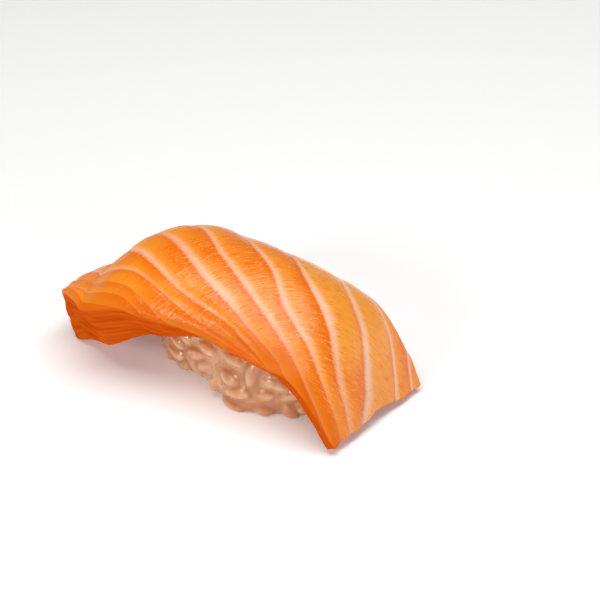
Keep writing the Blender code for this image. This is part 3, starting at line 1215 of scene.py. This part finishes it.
@dataclass(frozen=True)
class GrainShape:
    """One shape of cooked grain, in millimetres."""

    half_length: float = 3.2
    half_width: float = 1.75
    half_height: float = 1.5
    bow: float = 0.35
    taper: float = 0.12
    notch: float = 0.22
    unevenness: float = 0.12
    seed: float = 1.0
    sides: int = 12
    rings: int = 9
    plumpness: float = 0.72
    ridge: float = 0.03
    notch_place: float = 0.8
    notch_reach: float = 0.2
    unevenness_size: float = 1.6

    def mesh(self) -> tuple[np.ndarray, np.ndarray]:
        """The grain lying along X.

        Returns:
            Its points in millimetres, and the corners of its squares.
        """
        around = np.arange(self.sides) / self.sides * math.tau
        rows = np.arange(1, self.rings + 1) / (self.rings + 1) * math.pi
        points = [(-self.half_length, 0.0, 0.0)]
        for row in rows:
            reach = -math.cos(row)
            plump = math.sin(row) ** self.plumpness * (1 + self.taper * reach)
            for turn in around:
                ridge = 1 + self.ridge * math.cos(3 * turn + self.seed)
                y = self.half_width * plump * ridge * math.cos(turn)
                z = self.half_height * plump * ridge * math.sin(turn)
                points.append((self.half_length * reach, y, z))
        points.append((self.half_length, 0.0, 0.0))
        made = np.array(points)
        share = made[:, 0] / self.half_length
        made[:, 1] += self.bow * (0.5 - share**2)
        dent = np.exp(-(((share - self.notch_place) / self.notch_reach) ** 2)) * (made[:, 1] > 0)
        made[:, 1] -= self.notch * dent
        uneven = [ripple(made, self.unevenness_size, self.seed + axis) for axis in (1, 2, 3)]
        return made + self.unevenness * np.stack(uneven, axis=-1), self.faces()

    def faces(self) -> np.ndarray:
        """The squares between the rings, and those that close the two ends.

        Returns:
            The corners of each square.
        """
        count = self.sides
        squares = []
        for ring in range(self.rings - 1):
            for side in range(count):
                low = 1 + ring * count
                following = (side + 1) % count
                squares.append((low + side, low + following, low + count + following, low + count + side))
        last = 1 + self.rings * count
        start = last - count
        for side in range(0, count, 2):
            middle = (side + 1) % count
            end = (side + 2) % count
            squares.append((0, 1 + end, 1 + middle, 1 + side))
            squares.append((last, start + side, start + middle, start + end))
        return np.array(squares)


@dataclass(frozen=True)
class GrainSpot:
    """Where one grain lies, which way is out, and its heading about that direction."""

    place: Vector
    normal: Vector
    heading: float
    half_axis: float = 1.6 * MM
    least_level: float = 0.1

    def axis(self) -> Vector:
        """The direction of the grain's length.

        Returns:
            A level direction on the form, turned by the heading.
        """
        level = Vector((0, 0, 1)).cross(self.normal)
        level = level.normalized() if level.length > self.least_level else Vector((1, 0, 0))
        level.rotate(Matrix.Rotation(self.heading, 3, self.normal))
        return level

    def marks(self) -> list[Vector]:
        """The grain's middle and a point of its length on either side."""
        axis = self.axis()
        return [self.place + axis * step for step in (-self.half_axis, 0.0, self.half_axis)]

    def apart(self, other: GrainSpot) -> float:
        """How far apart the nearest marks of two grains lie, or endless where they are plainly clear.

        Args:
            other: Another grain's spot.

        Returns:
            The distance in metres.
        """
        if (self.place - other.place).length > 4 * self.half_axis:
            return math.inf
        theirs = other.marks()
        return min((one - two).length for one in self.marks() for two in theirs)


@dataclass(frozen=True)
class GrainLayer:
    """One layer of grains: how deep their middles lie, how far apart, and how many places are tried."""

    sink: float
    spacing: float
    darts: int


@dataclass
class RiceHeap:
    """The pressed rice: real grains that stick together over a plain core."""

    form: RiceForm = field(default_factory=RiceForm)
    finish: CookedRice = field(default_factory=CookedRice)
    shapes: tuple[GrainShape, ...] = (
        GrainShape(3.25, 1.80, 1.60, 0.15, 0.10, 0.05, 0.08, 1.0),
        GrainShape(3.00, 1.90, 1.65, 0.05, 0.05, 0.00, 0.10, 2.3),
        GrainShape(3.45, 1.75, 1.55, 0.25, -0.10, 0.06, 0.08, 3.7),
        GrainShape(2.80, 1.85, 1.60, 0.10, 0.12, 0.00, 0.12, 4.9),
        GrainShape(3.15, 1.80, 1.60, -0.15, 0.10, 0.04, 0.10, 6.2),
    )
    core_depth: float = 0.5 * MM
    core_cells: tuple[int, int, int] = (60, 36, 24)
    layers: tuple[GrainLayer, ...] = (
        GrainLayer(1.2 * MM, 2.6 * MM, 6000),
        GrainLayer(1.8 * MM, 2.2 * MM, 4000),
    )
    stray: float = 0.2 * MM
    heading_spread: float = 0.7
    lift_turn: float = 0.13
    pressed_turn: float = 0.1
    spin: float = 0.6
    size_range: Span = (0.9, 1.08)
    own_spread: float = 20.0
    under_share: float = 0.25
    under_inset: float = 1.5 * MM
    foot_margin: float = 0.5 * MM
    top_margin: float = 1.0 * MM
    lowest: float = 1.2 * MM
    salmon_clear: float = 0.9 * MM
    salmon_reach: float = 2.5 * MM
    slice_gap: float = 0.12 * MM
    floor_gap: float = 0.02 * MM
    fuse_size: float = 0.3 * MM
    soften_rounds: int = 6
    lump: float = 0.14 * MM
    lump_size: float = 2.0
    lump_seed: float = 4.2
    cavity_rounds: int = 12
    cavity_depth: float = 0.3 * MM
    foot_shade: Span = (0.5 * MM, 5.0 * MM)
    foot_shade_share: float = 0.7
    seed: int = 24

    def core(self) -> tuple[np.ndarray, np.ndarray]:
        """The plain inside, below the grains.

        Returns:
            Its points in metres, and the corners of its squares.
        """
        box, squares = box_shell(self.core_cells)
        ball = unit(box) * np.abs(box).max(axis=1, keepdims=True)
        points = []
        for x, y, z in ball:
            turn = math.atan2(y, x)
            height = self.form.middle.z + z * (self.form.rise if z > 0 else self.form.drop)
            place, normal = self.form.point(turn, height)
            points.append(place - normal * self.core_depth)
        return np.array(points), squares

    def clear_of_slice(self, points: np.ndarray, over: BVHTree) -> np.ndarray:
        """Points pressed back to a gap below the slice, where they would come nearer or cross it.

        Args:
            points: The points in metres.
            over: The slice's surface.

        Returns:
            The points that keep clear.
        """
        made = points.copy()
        for index, point in enumerate(points):
            near, normal, _, _ = over.find_nearest(Vector(point))
            distance = (Vector(point) - near).dot(normal)
            if distance < self.slice_gap:
                made[index] = near + normal * self.slice_gap
        return made

    def spots(self, draw: random.Random) -> list[GrainSpot]:
        """Even but random places for grains, on the sides and under the foot, first in the outer layer.

        Args:
            draw: The seeded draw.

        Returns:
            The place and heading of each grain.
        """
        found: list[GrainSpot] = []
        for layer in self.layers:
            for _ in range(layer.darts):
                spot = self.spot(draw, layer.sink)
                if spot is not None and all(spot.apart(other) > layer.spacing for other in found):
                    found.append(spot)
        return found

    def spot(self, draw: random.Random, sink: float) -> GrainSpot | None:
        """One random place for a grain.

        Args:
            draw: The seeded draw.
            sink: How deep the grain's middle lies below the form.

        Returns:
            The place, or None where it falls outside the foot.
        """
        heading = draw.gauss(0, self.heading_spread)
        if draw.random() < self.under_share:
            x = draw.uniform(-1, 1) * self.form.half_length
            y = draw.uniform(-1, 1) * self.form.half_width
            if not self.form.holds(x, y, sink + self.under_inset):
                return None
            return GrainSpot(Vector((x, y, sink)), Vector((0, 0, -1)), heading)
        top = self.form.middle.z + self.form.rise
        turn = draw.uniform(0, math.tau)
        surface, normal = self.form.point(turn, draw.uniform(self.foot_margin, top - self.top_margin))
        place = surface - normal * (sink + draw.uniform(-1, 1) * self.stray)
        place.z = max(place.z, self.lowest)
        return GrainSpot(place, normal, heading)

    def grains(self, over: BVHTree) -> tuple[list[np.ndarray], list[np.ndarray], list[np.ndarray]]:
        """The loose grains.

        Args:
            over: The slice's surface.

        Returns:
            For each grain its points in metres, its squares and its points in its own axes.
        """
        draw = random.Random(self.seed)
        meshes = [shape.mesh() for shape in self.shapes]
        points, faces, own = [], [], []
        for spot in self.spots(draw):
            near, outward, _, distance = over.find_nearest(spot.place)
            inside = (spot.place - near).dot(outward) < 0
            if inside or distance < self.salmon_clear:
                continue
            shape, squares = draw.choice(meshes)
            turned = self.turned(draw, spot, outward if distance < self.salmon_reach else None)
            size = draw.uniform(*self.size_range)
            points.append((shape * size * MM) @ np.array(turned).T + np.array(spot.place))
            faces.append(squares)
            own.append(shape + self.own_spread * draw.random())
        return points, faces, own

    def heap(self, over: BVHTree) -> bpy.types.Object:
        """The grains and the core, fused where they touch as pressed rice sticks together.

        Args:
            over: The slice's surface.

        Returns:
            The rice's mesh object, with each point's grain tone, own place and depth in a crease, raised
            towards the floor for painted shade.
        """
        points, faces, own = self.grains(over)
        draw = random.Random(self.seed + 1)
        tones = np.concatenate([np.full(len(grain), draw.random()) for grain in points])
        grain_points = np.concatenate(points)
        core_points, core_faces = self.core()
        everything = [*points, core_points]
        starts = np.cumsum([0] + [len(part) for part in everything[:-1]])
        squares = np.concatenate([face + start for face, start in zip([*faces, core_faces], starts)])
        piece = mesh_object("rice_grains", np.concatenate(everything), squares)
        self.fuse(piece)
        mesh = piece.data
        made = read_vectors(mesh.vertices, "co")
        lumps = ripple(made / MM, self.lump_size, self.lump_seed) * self.lump
        made = made + read_vectors(mesh.vertex_normals, "vector") * lumps[:, None]
        made = self.clear_of_slice(made, over)
        made[:, 2] = np.maximum(made[:, 2], self.floor_gap)
        move_points(mesh, made)
        mesh.shade_smooth()
        nearest = nearest_numbers(made, grain_points)
        write_attribute(piece, "own_place", np.concatenate(own)[nearest])
        write_attribute(piece, "tone", tones[nearest])
        # Painted shade: the crease value is raised near the floor, so the rice darkens towards its foot.
        foot = 1 - smooth_step(made[:, 2], *self.foot_shade)
        write_attribute(piece, "crease", self.creases(mesh, made) + self.foot_shade_share * foot)
        return piece

    def fuse(self, piece: bpy.types.Object) -> None:
        """Joins the grains and the core into one skin with soft creases.

        Args:
            piece: The loose grains and the core as one mesh object.
        """
        fuse = piece.modifiers.new("fuse", "REMESH")
        fuse.mode = "VOXEL"
        fuse.voxel_size = self.fuse_size
        soften = piece.modifiers.new("soften", "SMOOTH")
        soften.factor = 0.5
        soften.iterations = self.soften_rounds
        graph = bpy.context.evaluated_depsgraph_get()
        mesh = bpy.data.meshes.new_from_object(piece.evaluated_get(graph))
        piece.modifiers.clear()
        piece.data = mesh

    def creases(self, mesh: bpy.types.Mesh, made: np.ndarray) -> np.ndarray:
        """How deep each point lies in a crease between grains.

        Args:
            mesh: The fused rice's mesh.
            made: Its points in metres.

        Returns:
            A number from -1 on the grains' crowns to 1 in the deep creases.
        """
        edges = np.empty(len(mesh.edges) * 2, int)
        mesh.edges.foreach_get("vertices", edges)
        start, end = edges.reshape(-1, 2).T
        count = np.bincount(edges, minlength=len(made))[:, None]
        smooth = made.copy()
        for _ in range(self.cavity_rounds):
            total = np.zeros_like(smooth)
            for axis in range(3):
                total[:, axis] = np.bincount(start, smooth[end, axis], len(made))
                total[:, axis] += np.bincount(end, smooth[start, axis], len(made))
            smooth = total / np.maximum(count, 1)
        depth = ((smooth - made) * read_vectors(mesh.vertex_normals, "vector")).sum(axis=1)
        return np.clip(depth / self.cavity_depth, -1, 1)

    def turned(self, draw: random.Random, spot: GrainSpot, against: Vector | None) -> Matrix:
        """How one grain lies: flat on the form or against the slice, with a stray tilt.

        Args:
            draw: The seeded draw.
            spot: The grain's place and heading.
            against: The slice's direction where the grain touches it, or None.

        Returns:
            A matrix whose columns are the grain's length, width and height.
        """
        flat = -against if against is not None else spot.normal
        length = spot.axis()
        length = (length - flat * length.dot(flat)).normalized()
        tilt = draw.gauss(0, self.lift_turn if against is None else self.pressed_turn)
        width = flat.cross(length)
        length.rotate(Matrix.Rotation(tilt, 3, width))
        height = length.cross(width)
        spin = Matrix.Rotation(draw.uniform(-self.spin, self.spin), 3, length)
        width.rotate(spin)
        height.rotate(spin)
        return Matrix((length, width, height)).transposed()

    def build(self, salmon: bpy.types.Object) -> bpy.types.Object:
        """Makes the rice, clear of the finished slice."""
        return self.heap(BVHTree.FromObject(salmon, bpy.context.evaluated_depsgraph_get()))

    def dress(self, piece: bpy.types.Object) -> None:
        """Gives the rice its finish and its place."""
        settle_piece(piece, self.finish.material(), CadNode.RICE)


@dataclass(frozen=True)
class SoftLight:
    """A soft light that faces the nigiri, with its width along a heading in degrees from X towards Y."""

    name: str
    place: tuple[float, float, float]
    width: float
    depth: float
    power: float
    heading: float

    def build(self) -> None:
        """Adds the light."""
        lamp = bpy.data.lights.new(self.name, "AREA")
        lamp.shape = "RECTANGLE"
        lamp.size = self.width
        lamp.size_y = self.depth
        lamp.energy = self.power
        light = bpy.data.objects.new(self.name, lamp)
        light.location = self.place
        away = (Vector(self.place) - Vector(NIGIRI_MIDDLE)).normalized()
        heading = math.radians(self.heading)
        along = Vector((math.cos(heading), math.sin(heading), 0))
        along = (along - away * along.dot(away)).normalized()
        light.rotation_euler = Matrix((along, away.cross(along), away)).transposed().to_euler()
        bpy.context.scene.collection.objects.link(light)


@dataclass(frozen=True)
class Studio:
    """A plain pale floor in soft light."""

    floor_size: float = 6.0
    floor_colour: Colour = (250, 250, 249)
    floor_glow: float = 0.15
    world_strength: float = 0.14
    lights: tuple[SoftLight, ...] = (
        SoftLight("overhead_light", (0.04, -0.03, 0.52), 0.64, 0.2, 2.4, 59.0),
        SoftLight("front_light", (-0.1, -0.85, 0.42), 0.24, 0.18, 2.2, 0.0),
        SoftLight("side_light", (0.85, -0.45, 0.35), 0.5, 0.4, 1.0, 60.0),
        SoftLight("far_light", (0.72, 0.92, 0.25), 0.6, 0.4, 1.3, 140.0),
    )

    def build(self) -> None:
        """Adds the floor, the surrounding light and the soft lights."""
        half = self.floor_size / 2
        corners = np.array([(-half, -half, 0), (half, -half, 0), (half, half, 0), (-half, half, 0)], float)
        floor = mesh_object("floor", corners, np.array([(0, 1, 2, 3)]))
        nodes = FinishNodes("pale_floor")
        nodes.set(Base_Color=linear(self.floor_colour), Roughness=0.7)
        nodes.set(Emission_Color=(1, 1, 1, 1), Emission_Strength=self.floor_glow)
        floor.data.materials.append(nodes.material)
        world = bpy.data.worlds.new("studio")
        world.use_nodes = True
        surround = world.node_tree.nodes["Background"]
        surround.inputs["Color"].default_value = (1, 1, 1, 1)
        surround.inputs["Strength"].default_value = self.world_strength
        bpy.context.scene.world = world
        for light in self.lights:
            light.build()
        bpy.context.scene.view_settings.view_transform = "Standard"


@dataclass(frozen=True)
class PhotoCamera:
    """The camera, which looks down on the slice's front and thin end."""

    turn: float = 36.0
    tilt: float = 31.0
    distance: float = 0.6
    lens: float = 162.0
    frame_pixels: float = 600.0
    anchor: tuple[float, float, float] = (0.034, -0.0185, 0.001)
    anchor_pixel: tuple[float, float] = (333.0, 450.0)

    def build(self) -> None:
        """Adds the camera so that the anchor shows at its pixel."""
        turn = math.radians(self.turn)
        tilt = math.radians(self.tilt)
        back = Vector((math.sin(turn) * math.cos(tilt), -math.cos(turn) * math.cos(tilt), math.sin(tilt)))
        right = Vector((math.cos(turn), math.sin(turn), 0))
        up = back.cross(right)
        lens = bpy.data.cameras.new("photo_camera")
        lens.lens = self.lens
        lens.sensor_width = 36.0
        lens.clip_start = 0.01
        lens.clip_end = 20.0
        step = self.distance * lens.sensor_width / self.lens / self.frame_pixels
        move_right = (self.anchor_pixel[0] - self.frame_pixels / 2) * step
        move_up = (self.frame_pixels / 2 - self.anchor_pixel[1]) * step
        camera = bpy.data.objects.new("photo_camera", lens)
        place = Vector(self.anchor) + back * self.distance - right * move_right - up * move_up
        turned = Matrix((right, up, back)).transposed().to_4x4()
        camera.matrix_world = Matrix.Translation(place) @ turned
        bpy.context.scene.collection.objects.link(camera)
        bpy.context.scene.camera = camera


def main() -> None:
    """Builds the nigiri, its studio and the camera, and reports each piece."""
    logging.basicConfig(level=logging.INFO, format="%(message)s", force=True)
    slice_of_salmon = SalmonSlice()
    salmon = slice_of_salmon.build()
    slice_of_salmon.dress(salmon)
    rice_heap = RiceHeap()
    rice = rice_heap.build(salmon)
    rice_heap.dress(rice)
    Studio().build()
    PhotoCamera().build()
    for piece in (salmon, rice):
        log.info("%s: %d faces", piece.name, len(piece.data.polygons))


if __name__ == "__main__":
    main()
